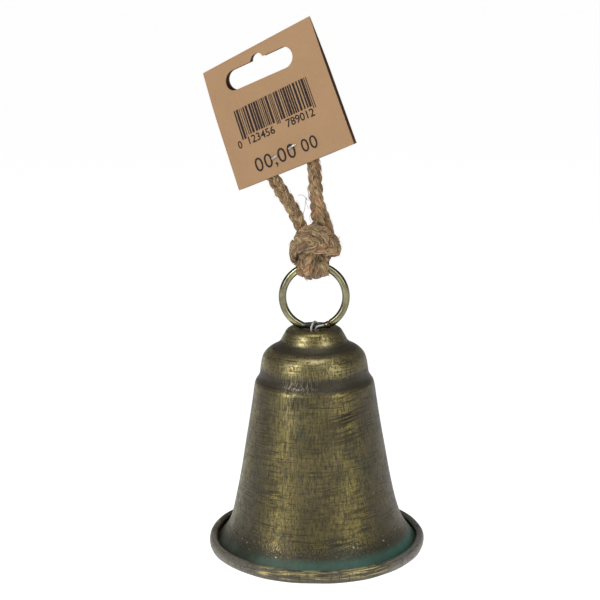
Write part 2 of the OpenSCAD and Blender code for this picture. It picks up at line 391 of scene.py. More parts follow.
def brass_material():
    """Antique brass wire: plating gone where it rubs on the crown, brown at the butt joint."""
    s = Shader("antique_brass")
    cloud = s.noise(0.16, 0.16, 3, 0.6)
    fine = s.noise(2.2, 2.2, 4, 0.6)
    colour = s.ramp(cloud, (0.36, (0.15, 0.142, 0.095)), (0.50, (0.25, 0.235, 0.13)),
                    (0.66, (0.40, 0.38, 0.21)))
    # Painted shade: darker towards the right; painted dark reflections along the wire's inner and outer sides
    painted_shade_right = s.times(s.between(s.along("X"), axis_x - 2, axis_x + 13), 0.40)
    worn = s.attribute("worn")
    colour = s.layered(colour, (painted_shade_right, (0.145, 0.135, 0.082)),
                       (s.times(s.attribute("sides"), 0.85), (0.052, 0.048, 0.042)),
                       (worn, (0.075, 0.068, 0.074)), (s.attribute("stained"), (0.13, 0.095, 0.050)))
    rough = s.math("ADD", s.ramp(fine, (0.3, 0.12), (0.7, 0.20)), s.times(worn, 0.06))
    s.bump((fine, 0.2, 0.05), (cloud, 0.2, 0.12))
    return s.set(Base_Color=colour, Metallic=0.95, Roughness=rough)


def steel_material(name, tone, rough_low, rough_high):
    """Drawn steel wire with fine marks and a little darkening."""
    s = Shader(name)
    marks = s.noise(3.0, 3.0, 4, 0.6)
    stain = s.noise(0.6, 0.6, 3, 0.5)
    colour = s.ramp(stain, (0.35, tuple(0.45 * c for c in tone)), (0.62, tone))
    rough = s.ramp(marks, (0.3, rough_low), (0.7, rough_high))
    s.bump((marks, 0.2, 0.04))
    return s.set(Base_Color=colour, Metallic=0.95, Roughness=rough)


def washer_material():
    """Washer under the crown, dulled by the same brown patina."""
    s = Shader("dull_washer")
    stain = s.noise(0.5, 0.5, 4, 0.6)
    colour = s.ramp(stain, (0.35, (0.13, 0.105, 0.08)), (0.65, (0.22, 0.18, 0.14)))
    s.bump((stain, 0.3, 0.1))
    return s.set(Base_Color=colour, Metallic=0.25, Roughness=s.ramp(stain, (0.3, 0.5), (0.7, 0.7)))


def iron_material():
    """Rough cast ball, almost black, with rust-brown specks."""
    s = Shader("dark_iron")
    grain = s.noise(1.6, 1.6, 5, 0.6)
    rust = s.noise(0.35, 0.35, 4, 0.6)
    colour = s.mix(s.ramp(rust, (0.56, 0.0), (0.70, 0.8)), (0.055, 0.053, 0.050), (0.12, 0.055, 0.025))
    s.bump((grain, 0.5, 0.15))
    return s.set(Base_Color=colour, Metallic=0.6, Roughness=s.ramp(grain, (0.3, 0.45), (0.7, 0.7)))


def jute_material():
    """Tan bast fibre with streaks along each strand, olive and reddish stretches, and painted shade: dark
    between the ridges and over the knot.
    """
    s = Shader("jute")
    shade = s.attribute("shade")
    strand = s.attribute("grain", "Vector")
    streak = s.noise_at(strand, 1.0, 4, 0.6)
    hairs = s.noise_at(strand, 2.6, 2, 0.5)
    cloud = s.noise(0.20, 0.20, 3, 0.6)
    # The shade attribute holds each strand's tone and painted shade: the grooves of the strands and the whole
    # knot darker
    tone = s.math("ADD", shade, s.times(s.math("SUBTRACT", streak, 0.5), 1.5))
    tone = s.math("ADD", tone, s.times(s.math("SUBTRACT", hairs, 0.5), 0.9), clamp=True)
    tan = s.ramp(tone, (0.0, (0.036, 0.018, 0.008)), (0.30, (0.138, 0.079, 0.037)),
                 (0.62, (0.300, 0.196, 0.096)), (1.0, (0.60, 0.45, 0.26)))
    tint = s.ramp(cloud, (0.36, (1.06, 0.90, 0.80)), (0.5, (1.0, 1.0, 1.0)), (0.64, (0.92, 0.98, 0.82)))
    colour = s.mix(1.0, tan, tint, "MULTIPLY")
    s.bump((streak, 0.6, 0.16), (hairs, 0.5, 0.08))
    s.set(Sheen_Weight=0.15, Sheen_Roughness=0.5)
    return s.set(Base_Color=colour, Roughness=s.ramp(streak, (0.3, 0.75), (0.7, 0.95)))


def kraft_material(name, light, dark):
    """Uncoated board with pulp fibres and faint mottling."""
    s = Shader(name)
    pulp = s.noise(1.4, 1.4, 6, 0.7)
    fibres = s.noise(0.9, 5.0, 4, 0.6, 1.2)
    mottle = s.noise(0.08, 0.08, 3, 0.5)
    colour = s.ramp(pulp, (0.32, dark), (0.62, light))
    colour = s.mix(s.ramp(fibres, (0.60, 0.0), (0.72, 0.35)), colour, tuple(0.72 * c for c in dark))
    colour = s.mix(s.ramp(mottle, (0.40, 0.0), (0.62, 0.22)), colour, tuple(1.12 * c for c in light))
    s.bump((pulp, 0.25, 0.05), (mottle, 0.15, 0.4))
    return s.set(Base_Color=colour, Roughness=s.ramp(pulp, (0.3, 0.72), (0.7, 0.88)))


def ink_material():
    """Thermal print: brown-black, thin enough for the board to show through in places."""
    s = Shader("print_ink")
    wear = s.noise(2.6, 2.6, 4, 0.7)
    colour = s.ramp(wear, (0.42, (0.010, 0.008, 0.009)), (0.72, (0.050, 0.034, 0.030)))
    s.bump((wear, 0.2, 0.02))
    s.set(Specular_IOR_Level=0.15)
    return s.set(Base_Color=colour, Roughness=s.ramp(wear, (0.3, 0.55), (0.7, 0.75)))


# -------- jute cord

LOOP_ROUTE = [
    (10.9, 0, -45), (9.6, -0.2, -40.8), (7.2, -0.5, -35.3), (4.3, -0.7, -30.2), (1.4, -0.4, -25.6),
    (-1.4, 0.6, -21), (-4.1, 1.7, -16), (-6.3, 2.5, -11), (-6.9, 2.8, -5.8),
    (-5, 2, -0.8), (-1, 0.4, 2.5), (4, -1.6, 3.2), (8.7, -3.5, 1.1),
    (11.8, -4.8, -3.2), (13.8, -5.5, -9), (15.1, -5.9, -15), (15.7, -5.9, -20.5),
    (16, -5, -26.5), (16.3, -3.6, -32), (16.6, -2.1, -37), (17, -0.9, -41.5), (17.1, -0.4, -45),
]
# The hitch, from the right leg down in front of the ring, round it, across the front and back
# round it to the left leg. Measured from the middle of the ring's wire at its top.
HITCH_ROUTE = [
    (1.7, -2.0, 8.4), (1.9, -3.8, 4.6), (2.4, -4.4, 0.4), (2.6, -3.4, -3.1), (2.6, 0, -4.4),
    (2.7, 3.3, -3.2), (3.2, 4.6, 0.3), (4.6, 5.0, 4.0), (7.0, 4.2, 6.8), (8.8, 1.4, 7.8),
    (8.6, -2.4, 7.4), (6.0, -5.6, 8.0), (1.8, -6.9, 8.7), (-2.6, -6.9, 9.3), (-6.0, -5.4, 8.8),
    (-8.0, -2.2, 6.6), (-8.1, 1.6, 3.8), (-6.6, 4.0, 1.6), (-4.5, 4.5, -0.8), (-3.8, 3.2, -3.4),
    (-3.6, 0, -4.4), (-3.6, -3.4, -3.1), (-3.4, -4.4, 0.4), (-3.0, -3.8, 4.6), (-3.4, -2.1, 8.6),
]
# The cord's tied ends: one runs beside the right leg to the right bulge, one lies over the top
TAIL_ROUTES = [
    [(1.2, 2.6, 28), (2.2, 2.4, 24.5), (3.4, 1.8, 21), (4.6, 0.8, 17.8), (5.4, -0.8, 14.6), (6.8, -2.4, 11.4),
     (8.6, -3.0, 8.4), (9.3, -1.4, 5.6), (8.0, 1.2, 4.6)],
    [(-5.0, 2.0, 10.4), (-6.3, -1.0, 11.6), (-4.4, -3.9, 13.0), (-1.0, -5.0, 14.4), (2.8, -5.1, 13.8),
     (6.0, -5.0, 11.2), (8.8, -3.6, 7.8), (9.6, -0.4, 5.8), (8.4, 2.2, 5.6)],
]
# Loose hairs between the legs of the loop
STRAY_HAIRS = [
    [(10.4, -1.0, -38), (11.4, -1.4, -34.5), (11.9, -1.2, -31.5), (12.4, -1.0, -29.8)],
    [(12.8, -3.0, -30.6), (11.6, -3.0, -29.0), (10.2, -3.0, -28.3), (8.9, -3.0, -28.5)],
    [(13.0, -2.4, -34), (12.2, -2.6, -31.8), (11.9, -2.6, -29.4)],
]
LOOP_NORMAL = (0.375, 0.927, 0)
CORD_D = 5.4
BRAID_PERIOD = 12.0
BRAID_HALF_WIDTH = 1.35
BRAID_HALF_DEPTH = 0.72
BRAID_HOLD = 1.3  # how long a strand stays at the braid's edge
HAIR_ACROSS = (0.31, 0.52, 0.79)
STRAND_WIDE = 1.38
STRAND_DEEP = 1.02
STEP = 0.4
GRAIN_ACROSS = 1.5  # streaks of fibre: fine across, long along
GRAIN_ALONG = 0.16


def run_along(path):
    """Distance run at each point of a path."""
    return np.concatenate([[0], np.cumsum(np.linalg.norm(np.diff(path, axis=0), axis=1))])


def facing(path):
    """Which way the flat of the braid faces: along the loop's plane above, outward in the hitch."""
    heart = np.array(hitch) + (0, 0, 5)
    outward = unit(path - heart)
    flat = -np.array(LOOP_NORMAL)
    share = np.clip((path[:, 2] - (hitch.z + 10)) / 8, 0, 1)[:, None]
    share = smooth(share)
    wanted = unit(outward * (1 - share) + flat * share)
    kernel = np.ones(9) / 9
    padded = np.pad(wanted, ((4, 4), (0, 0)), mode="edge")
    return np.stack([np.convolve(padded[:, k], kernel, "valid") for k in range(3)], axis=1)


def strand_centres(path, run, period, scale, spread):
    """The three strands of the braid along a path."""
    side, normal = frames_along(path, facing(path))
    strands = []
    for k in range(3):
        phase = 2 * pi * (run / period + k / 3)
        swing = np.tanh(BRAID_HOLD * np.sin(phase)) / tanh(BRAID_HOLD)
        across = scale * spread * BRAID_HALF_WIDTH * swing
        deep = scale * BRAID_HALF_DEPTH * np.sin(2 * phase)
        strands.append(path + across[:, None] * side + deep[:, None] * normal)
    return strands, normal


def strand_mesh(centre, normal, run, seed, scale, spread, tone, sides=22):
    """One strand: a soft bundle with ridges of fibre that wind slowly round it."""
    side, up = frames_along(centre, normal)
    turn = full_turn(sides)[None, :]
    length = run[:, None]
    twist = length * 0.30 + seed
    ridges = (1 + 0.050 * np.sin(5 * turn + 4 * twist) + 0.045 * np.sin(8 * turn - 3 * twist + seed)
              + 0.05 * np.sin(length * 1.1 + 3 * seed + turn)
              + 0.03 * np.sin(length * 3.1 + 5 * seed - 2 * turn))
    x = np.cos(turn) * ridges * STRAND_WIDE * scale * spread
    y = np.sin(turn) * ridges * STRAND_DEEP * scale
    rings = centre[:, None, :] + x[:, :, None] * side[:, None, :] + y[:, :, None] * up[:, None, :]
    verts, faces = skin(rings)
    # Painted shade: darker in the grooves between the ridges; the slow wave along the strand is tone
    shade = tone + 1.2 * (ridges - 1) + 0.12 * np.sin(length * 0.31 + 5 * seed)
    wound = turn + twist
    grain = np.stack([GRAIN_ACROSS * np.cos(wound) + 9 * seed, GRAIN_ACROSS * np.sin(wound),
                      GRAIN_ALONG * length + 0 * turn], axis=2)
    return verts, faces, np.clip(shade, 0, 1).reshape(-1).tolist(), grain.reshape(-1, 3).tolist()


def fibre_mesh(centre, normal, run, scale, spread):
    """One hair lying along a strand, its end sometimes standing off."""
    length = rng.uniform(4, 13)
    start = rng.uniform(run[0], max(run[0], run[-1] - length))
    count = 12
    t = np.linspace(0, 1, count)
    at = start + t * min(length, run[-1] - start)
    middle = np.stack([np.interp(at, run, centre[:, k]) for k in range(3)], axis=1)
    wish = np.stack([np.interp(at, run, normal[:, k]) for k in range(3)], axis=1)
    side, up = frames_along(middle, wish)
    angle = rng.uniform(0, 2 * pi) + (at - at[0]) * rng.uniform(-0.05, 0.20)
    loose = rng.random()
    reach = 0.0
    if loose < 0.45:
        reach = rng.uniform(0.25, 0.9) if loose > 0.06 else rng.uniform(1.0, 2.2)
    lift = rng.uniform(-0.03, 0.05) + reach * np.clip((t - 0.5) / 0.5, 0, 1) ** 1.5
    angle = angle + (rng.uniform(-0.9, 0.9) * t ** 2 if reach else 0)
    far = lift + 0.05 * np.sin(rng.uniform(4, 9) * t + rng.uniform(0, 6))
    line = (middle + (np.cos(angle) * (STRAND_WIDE * scale * spread + far))[:, None] * side
            + (np.sin(angle) * (STRAND_DEEP * scale + far))[:, None] * up)
    thick = rng.uniform(0.05, 0.12) if reach < 0.9 else 0.04
    verts, faces = wire(line, thick, HAIR_ACROSS, 4)
    tone = min(1.0, max(0.1, rng.gauss(0.58, 0.22)))
    place = [rng.uniform(0, 50), rng.uniform(0, 50), rng.uniform(0, 50)]
    return verts, faces, [tone] * len(verts), [place] * len(verts)


def braid(name, runs, hairs_per_mm, tone, strays=()):
    """Braided jute. runs are (path, run at its start, period, scale, spread along it)."""
    parts = []
    for path, first, period, scale, spread in runs:
        run = first + run_along(path)
        spread = np.broadcast_to(spread, run.shape)
        strands, normal = strand_centres(path, run, period, scale, spread)
        for k, centre in enumerate(strands):
            parts.append(strand_mesh(centre, normal, run, 1.7 * k, scale, spread[:, None], tone))
        for _ in range(int(hairs_per_mm * (run[-1] - run[0]))):
            parts.append(fibre_mesh(rng.choice(strands), normal, run, scale, float(spread.mean())))
    for route in strays:
        verts, faces = wire(curve_through(route, STEP)[0], 0.09, HAIR_ACROSS, 4)
        parts.append((verts, faces, [0.45] * len(verts), [(0, 0, 0)] * len(verts)))
    verts, faces, shades, grain = joined(parts)
    return mesh_piece(name, verts, faces, jute_mat, attributes={"shade": shades, "grain": grain})


def from_hitch(route):
    """A route measured from the middle of the ring's wire at its top."""
    return [tuple(hitch + Vector(p)) for p in route]


def add_cord():
    """The free loop and its hitch are one closed run of cord, cut in two where they meet."""
    ring, length = curve_through(LOOP_ROUTE + from_hitch(HITCH_ROUTE), STEP, closed=True)
    run = run_along(ring)
    first_part = ring[: int(len(ring) * 0.8)]
    cut = int(np.argmin(np.linalg.norm(first_part - np.array(LOOP_ROUTE[-1]), axis=1)))
    period = length / round(length / BRAID_PERIOD)
    loop = braid("jute_cord", [(ring[: cut + 1], 0.0, period, 1.0, 1.0)], 11.0, 0.46)
    rest = run[cut:] - run[cut]
    tight = np.minimum(rest, rest[-1] - rest)
    spread = 1 + 0.32 * np.clip(tight / 9, 0, 1)
    # The hitch and the ends take a lower tone than the loop: painted shade in the knot
    knot = braid("jute_hitch", [(ring[cut:], run[cut], period, 1.0, spread)], 11.0, 0.38)
    tails = [(curve_through(from_hitch(route), STEP)[0], 4.0, BRAID_PERIOD, 0.86, 1.0)
             for route in TAIL_ROUTES]
    tail = braid("jute_ends", tails, 12.0, 0.39, STRAY_HAIRS)
    for piece in (loop, knot, tail):
        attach(piece, "cord")
    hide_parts("jute_loop")
    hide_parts("jute_knot")


# -------- bell

CROWN_LINE = [
    (3.3, 91), (4.7, 91), (5.8, 91.5), (7, 92.6), (8.4, 92.95), (9.9, 92.85), (11.1, 92), (11.9, 90.6),
    (12.7, 89.2), (13.6, 87.5), (15.3, 85.9), (18.3, 84.2), (20.4, 82), (21.3, 79.3), (21.8, 76.2),
    (22.1, 74.2), (22.9, 72.4), (24, 70.8), (24.5, 68.6), (25.2, 63.5), (26.5, 55.5), (28.1, 46),
    (29.9, 35.5), (31.8, 25.5), (33.5, 18), (35.2, 12.2), (37, 8.3), (38.9, 5.5), (40.5, 3.5),
]
SHEET_T = 0.7
RIM_R = 45.0
CURL_W = 3.6
CURL_H = 5.3


def bell_line():
    """Middle of the sheet: crown, skirt and the curl, as radius and height above the rim."""
    curl = [(RIM_R - CURL_W / 2 + (CURL_W - SHEET_T) / 2 * cos(radians(a)),
             CURL_H / 2 + (CURL_H - SHEET_T) / 2 * sin(radians(a))) for a in range(-145, 156, 15)]
    points = [(r, 0, z) for r, z in CROWN_LINE + curl]
    line, _ = curve_through(points, 0.75)
    return line[:, [0, 2]]


def both_faces(line, thickness):
    """Outer and inner line of a sheet, from its middle line."""
    heading = unit(np.gradient(line, axis=0))
    out = np.stack([-heading[:, 1], heading[:, 0]], axis=1) * thickness / 2
    return line + out, line - out


# Unevenness round the bell: waves in a turn, their rise up the bell, their phase and height
DENTS = [(2, 0.02, 0.6, 0.07), (3, 0.05, 2.1, 0.06), (5, -0.09, 1.0, 0.05), (9, 0.21, 0.3, 0.03),
         (14, -0.3, 2.0, 0.018)]
CURL_WAVES = [(4, 0, 0.9, 0.07), (7, 0, 2.4, 0.06), (17, 0, 1.1, 0.03)]
RIM_WAVES = [(1, 0, -0.7, 0.7), (3, 0, 0.4, 0.10), (8, 0, 1.9, 0.06), (19, 0, 0.2, 0.03)]


def ripple(theta, along, waves):
    """The sum of some waves round the bell."""
    return sum(high * np.sin(count * theta + rise * along + phase) for count, rise, phase, high in waves)


# Hand work and painted light round the bell: middle (degrees round and height), half sizes and amount
# Gold dry brushing; the patches at the front (244, 270 and 296 degrees) and on the crown's front (266) are
# painted highlights
GILT_AND_HIGHLIGHTS = [
    (244, 40, 13, 200, 0.78), (296, 40, 14, 200, 0.80), (270, 40, 11, 200, 0.35), (18, 40, 14, 200, 0.6),
    (62, 40, 16, 200, 0.8), (108, 40, 13, 200, 0.8), (150, 40, 15, 200, 0.6), (192, 40, 14, 200, 0.55),
    (266, 91, 22, 8, 0.5), (60, 91, 40, 14, 0.6), (150, 91, 30, 14, 0.5),
]
SCORED = [
    (300, 62, 16, 13, 1.0), (236, 30, 9, 7, 0.8), (278, 34, 10, 5, 0.7), (303, 26, 11, 9, 0.7),
    (222, 52, 9, 10, 0.6), (268, 66, 10, 4, 0.5), (40, 50, 25, 14, 0.9), (120, 30, 20, 12, 0.8),
    (165, 58, 18, 12, 0.9), (285, 12, 14, 3, 0.8),
]
# The lip's painted light: dark brown with highlight streaks in these patches, painted reflection in light
# grey outside them
LIP_PAINTED_LIGHT = [
    (262, 3, 36, 30, 1.0), (300, 3, 12, 30, 0.6), (60, 3, 30, 30, 0.9), (150, 3, 24, 30, 0.8),
]
RUBBED = [
    (254, 74.5, 17, 3.0, 0.9), (246, 65, 10, 8, 0.9), (70, 75, 20, 3, 0.8), (150, 76, 14, 3, 0.7),
]


def patches(theta, height, spots, ground):
    """Soft patches round the bell as an attribute from 0 to 1."""
    total = np.full(np.broadcast(theta, height).shape, ground)
    for middle, level, wide, tall, amount in spots:
        gap = (np.degrees(theta) - middle + 180) % 360 - 180
        total = total + amount * np.exp(-(gap / wide) ** 2 - ((height - level) / tall) ** 2)
    return np.clip(total, 0, 1).reshape(-1)


def add_bell():
    """The spun shell as a turned sheet with the dents and the uneven curl of hand work."""
    outer, inner = both_faces(bell_line(), SHEET_T)
    inner = inner[::-1]
    profile = np.concatenate([outer, inner])
    outside = np.concatenate([np.ones(len(outer)), np.zeros(len(inner))])
    lip = np.clip((profile[:, 0] - 41.2) / 0.3, 0, 1)
    outside = np.maximum(outside, lip)
    turns = 256
    theta = full_turn(turns)
    r = profile[:, 0][None, :]
    z = profile[:, 1][None, :]
    t = theta[:, None]
    body = np.clip((r - 12) / 8, 0, 1)
    curl_share = np.clip((r - 38) / 4, 0, 1)
    r_now = r + body * ripple(t, z, DENTS) + curl_share * ripple(t, 0 * z, CURL_WAVES)
    z_now = z + curl_share * ripple(t, 0 * z, RIM_WAVES)
    off = -0.25 * np.clip((z - 5) / 15, 0, 1)
    rings = np.stack([axis_x + off + r_now * np.cos(t), r_now * np.sin(t), rim_z + z_now], axis=2)
    verts, faces = skin(rings, loop=True)
    marks = {"outside": np.tile(outside, turns), "lip": np.tile(lip, turns)}
    # The gold patches carry painted highlights at the front of the bell
    marks["brushed"] = patches(t, z, GILT_AND_HIGHLIGHTS, 0.16)
    marks["scored"] = patches(t, z, SCORED, 0.0)
    marks["rubbed"] = patches(t, z, RUBBED, 0.0)
    # The lip's patches place its painted highlights and its painted reflection
    marks["shined"] = patches(t, z, LIP_PAINTED_LIGHT, 0.12)
    bell = mesh_piece("bell", verts, faces, patina_material(), attributes=marks)
    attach(bell, "bell")
    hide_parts("bell_shell")


# -------- ring and wires

RING_R, RING_WIRE_R = 12.95, 1.56
RING_DROP = 0.33  # the ring hangs this much lower in its hitch
THIN_R = 1.1  # the wire where it rubs on the crown


def add_ring():
    """Bent wire ring, worn thin from below, its two cut ends butted low on the right."""
    open_turn = radians(0.5)
    joint_at = radians(-61)
    middle_z = ring_centre.z - ring_r - ring_wire_r + RING_R + RING_WIRE_R - RING_DROP
    turn = np.linspace(joint_at + open_turn / 2, joint_at + 2 * pi - open_turn / 2, 361)
    low = (np.degrees(turn) + 90 + 180) % 360 - 180
    thin = smooth(np.clip((25 - np.abs(low)) / 9, 0, 1))
    reach = RING_R - (RING_WIRE_R - THIN_R) * thin
    path = np.stack([ring_centre.x + reach * np.cos(turn), 0 * turn, middle_z + reach * np.sin(turn)], axis=1)
    radii = RING_WIRE_R + (THIN_R - RING_WIRE_R) * thin
    radii[[0, -1]] *= 0.82
    radii[[1, -2]] *= 0.95
    section = 28
    around = full_turn(section)
    verts, faces = tube(path, radii, (0, 1, 0), section)
    worn = np.repeat(np.clip((23.5 - np.abs(low)) / 2.5, 0, 1), section)
    stained = np.repeat(np.clip((9 - np.abs(low - 29)) / 4, 0, 1), section)
    # Painted dark reflections along the wire's inner and outer sides, as seen from the front
    sides = np.tile(np.clip((np.abs(np.cos(around)) - 0.55) / 0.35, 0, 1), len(turn))
    marks = {"worn": worn, "stained": stained, "sides": sides}
    ring = mesh_piece("ring", verts, faces, brass_material(), attributes=marks)
    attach(ring, "ring")
    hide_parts("hanging_ring")


HOOK_R = 2.6
HANGER_EYE_R = 1.9
JOG_Z = -85.5  # where the wire steps in to the bell's axis
# The cut end lies along the front of the ring, then the wire goes under it and up behind.
# Measured from the lowest point of the ring's circle.
HOOK_END = (
    (3.8, -2.1, 1.3), (3.1, -2.2, 1.1), (2.2, -2.25, 0.9), (1.4, -2.25, 0.7), (0.8, -2.2, 0.35),
    (0.5, -2.1, -0.5), (0.5, -1.6, -1.5), (0.6, -0.5, -2.3), (1.0, 0.7, -2.35), (1.4, 1.7, -1.7),
    (1.7, 2.25, -0.9),
)


def up(z):
    """A vector straight up."""
    return Vector((0, 0, z))


def hanger_route():
    """Points along the hanger's wire: cut end, hook, shank and lower eye, from the bell's axis."""
    low = ring_centre.z - ring_r
    hook_z = low - 0.5
    turn = radians(31)
    fore = Vector((-sin(turn), -cos(turn), 0))
    points = [Vector(p) + up(low) for p in HOOK_END]
    for deg in range(12, 181, 12):
        a = radians(deg)
        points.append(up(hook_z + HOOK_R * sin(a)) - fore * HOOK_R * cos(a))
    for out, z in ((HOOK_R, hook_z - 0.9), (HOOK_R - 0.25, JOG_Z + 0.25), (HOOK_R * 0.45, JOG_Z + 0.02),
                   (0.15, JOG_Z - 0.35)):
        points.append(fore * out + up(z))
    points.append(up(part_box("stop_washer")[0][2] / MM))
    eye_z = pivot.z + HANGER_EYE_R
    for deg in range(90, -256, -20):
        x = HANGER_EYE_R * cos(radians(deg))
        z = HANGER_EYE_R * sin(radians(deg))
        points.append(Vector((x, (90 - deg) / 300, eye_z + z)))
    return points


def add_hanger():
    """Hook over the ring, shank through the crown, eye below, bent from one wire."""
    path, _ = curve_through([tuple(p + Vector((axis_x, 0, 0))) for p in hanger_route()], 0.18)
    verts, faces = wire(path, 0.50, (0.75, -0.6, 0.2), 16, blunt=True)
    hanger = mesh_piece("hanger_hook", verts, faces, hook_mat)
    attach(hanger, "hanger")
    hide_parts("hanger_wire")


def add_clapper():
    """Clapper wire with a bent eye and a riveted foot; the washer and ball are the CAD's own."""
    r = 0.8
    eye_r = 2.4
    eye_z = pivot.z + 0.60 + r - eye_r
    foot_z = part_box("clapper_ball")[0][2] / MM - 0.6
    points = [(axis_x, eye_r * sin(radians(a)), eye_z + eye_r * cos(radians(a)))
              for a in range(-165, 166, 15)]
    points += [(axis_x, 0.15, eye_z - eye_r - 1.6), (axis_x, 0, eye_z - eye_r - 4.5)]
    points += [(axis_x, 0, z) for z in np.linspace(eye_z - eye_r - 10, foot_z, 6)]
    path, _ = curve_through(points, 0.4)
    verts, faces = wire(path, r, (1, 0, 0), 18, blunt=True)
    head = []
    turn = full_turn(24)
    for radius, z in ((0.8, 0.55), (1.65, 0.5), (1.8, 0.2), (1.7, -0.25), (1.2, -0.6), (0.5, -0.75)):
        wide = radius * (1 + 0.04 * np.sin(3 * turn))
        head.append(np.stack([axis_x + wide * np.cos(turn), radius * np.sin(turn), 0 * turn + foot_z + z], 1))
    head_verts, head_faces = skin(np.array(head))
    verts, faces, _, _ = joined([(verts, faces), (head_verts, head_faces)])
    rod = mesh_piece("clapper_rod", verts, faces, steel_mat)
    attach(rod, "clapper")
    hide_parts("clapper_wire")
    for node, material in (("stop_washer", washer_material()), ("clapper_ball", iron_material())):
        obj = frame["nodes"][node]
        for slot in obj.material_slots:
            slot.material = material


# -------- card tag

TAG_YAW = -22
TAG_LEAN = 22.5
TAG_W, TAG_H, TAG_TOP, TAG_X = 53.0, 50.5, 31.0, 2.5
CARD_T = 0.45
CHEEK = CORD_D / 2 + 0.32 + CARD_T / 2
# Half the card's thickness over the cord, as shares of CHEEK at heights from its lower edge up
CHEEK_LINE = [(1, TAG_TOP - TAG_H), (1, 4), (0.99, 11), (0.88, 16), (0.62, 22), (0.36, 27), (0.2, 29.8),
              (0.1, 30.7)]
SLOT_W, SLOT_H, SLOT_Z, NOTCH_R = 32.0, 8.0, 21.4, 3.2
STAPLE_X, STAPLE_Z, STAPLE_SPAN = 0.9, -12.0, 11.5
CORD_MID_X = 1.0  # middle of the loop between the panels
# How far each corner is out of square, x and z: top left, top right, bottom left, bottom right
CORNERS_OFF = ((2.7, -1.3), (1.2, 1.9), (-1.3, 0.2), (0.3, 0.1))
SLOT_SHIFT = (-1.1, 0.4)  # the slot was punched a little off centre
SLOT_TURN = radians(-2.6)

tag_turn = Matrix.Rotation(radians(TAG_YAW), 3, "Z") @ Matrix.Rotation(radians(-TAG_LEAN), 3, "Y")


def warped(p):
    """The card as it hangs: out of square, curled, and its panels closer beyond the cord."""
    x, y, z = p
    across = (x - TAG_X) / TAG_W + 0.5
    rise = (z - TAG_TOP + TAG_H) / TAG_H
    top = [a + (b - a) * across for a, b in zip(*CORNERS_OFF[:2])]
    low = [a + (b - a) * across for a, b in zip(*CORNERS_OFF[2:])]
    dx, dz = (b + (a - b) * rise for a, b in zip(top, low))
    beyond = min(1, max(0, (abs(x - CORD_MID_X) - 13) / 14))
    pinch = 1 - 0.55 * smooth(beyond)
    curl = -1.1 * (2 * across - 1) * abs(2 * across - 1) * (1 - rise)
    return Vector((x + dx, y * pinch + curl, z + dz))


def tag_place(p):
    """From the tag's own frame to the row frame, in millimetres."""
    return tag_turn @ warped(p)


def card_outline():
    """Middle line of the folded card as (y, z), front's lower edge first."""
    front = [(-x * CHEEK, z) for x, z in CHEEK_LINE]
    back = [(x * CHEEK, z) for x, z in reversed(CHEEK_LINE)]
    line, _ = curve_through([(y, 0, z) for y, z in front + [(0, TAG_TOP)] + back], 0.7)
    return line[:, [0, 2]]


def front_y(z):
    """How far in front of the middle plane the card's outer face lies at height z."""
    heights = [h for _, h in CHEEK_LINE]
    shares = [s for s, _ in CHEEK_LINE]
    return -(float(np.interp(z, heights, shares)) * CHEEK + CARD_T / 2)


def turned(x, z, angle):
    """A point of the card's plane turned about the plane's origin."""
    return x * cos(angle) - z * sin(angle), x * sin(angle) + z * cos(angle)


def slot_shape(steps=14):
    """Outline of the hanging slot with its round notch, counter-clockwise, about its centre."""
    end_x, end_r = (SLOT_W - SLOT_H) / 2, SLOT_H / 2
    rise = 1.0
    start = atan2(rise, sqrt(NOTCH_R ** 2 - rise ** 2))
    points = []
    arcs = ((end_x, 0, end_r, -pi / 2, pi / 2), (0, end_r - rise, NOTCH_R, start, pi - start),
            (-end_x, 0, end_r, pi / 2, 3 * pi / 2))
    for x, z, radius, first, last in arcs:
        for a in np.linspace(first, last, steps + 1):
            points.append((x + radius * cos(a), z + radius * sin(a)))
    return points


def card_sheet():
    """The folded card before the slot is cut: two layers of points and the faces between them."""
    columns = np.linspace(TAG_X - TAG_W / 2, TAG_X + TAG_W / 2, 61)
    layers = both_faces(card_outline(), CARD_T)
    n = len(layers[0])
    verts = [(x, y, z) for layer in layers for x in columns for y, z in layer]
    faces = []

    def at(layer, i, j):
        return (layer * len(columns) + i) * n + j

    def quad(corners, flip=False):
        faces.append(tuple(at(*c) for c in corners)[:: -1 if flip else 1])

    for i in range(len(columns) - 1):
        for j in range(n - 1):
            quad(((0, i, j), (0, i + 1, j), (0, i + 1, j + 1), (0, i, j + 1)))
            quad(((1, i, j), (1, i, j + 1), (1, i + 1, j + 1), (1, i + 1, j)))
        for j in (0, n - 1):
            quad(((0, i, j), (1, i, j), (1, i + 1, j), (0, i + 1, j)), j > 0)
    for i in (0, len(columns) - 1):
        for j in range(n - 1):
            quad(((0, i, j), (0, i, j + 1), (1, i, j + 1), (1, i, j)), i > 0)
    return verts, faces


def slot_cutter():
    """A prism in the slot's shape, through both panels."""
    shape = []
    for point in slot_shape():
        x, z = turned(*point, SLOT_TURN)
        shape.append((x + TAG_X + SLOT_SHIFT[0], z + SLOT_Z + SLOT_SHIFT[1]))
    m = len(shape)
    verts = [(x, y, z) for y in (-8.0, 8.0) for x, z in shape]
    faces = [tuple(range(m)), tuple(range(2 * m - 1, m - 1, -1))]
    faces += [(k, k + m, (k + 1) % m + m, (k + 1) % m) for k in range(m)]
    return mesh_piece("slot_cutter", verts, faces, kraft_mat, smooth=False)


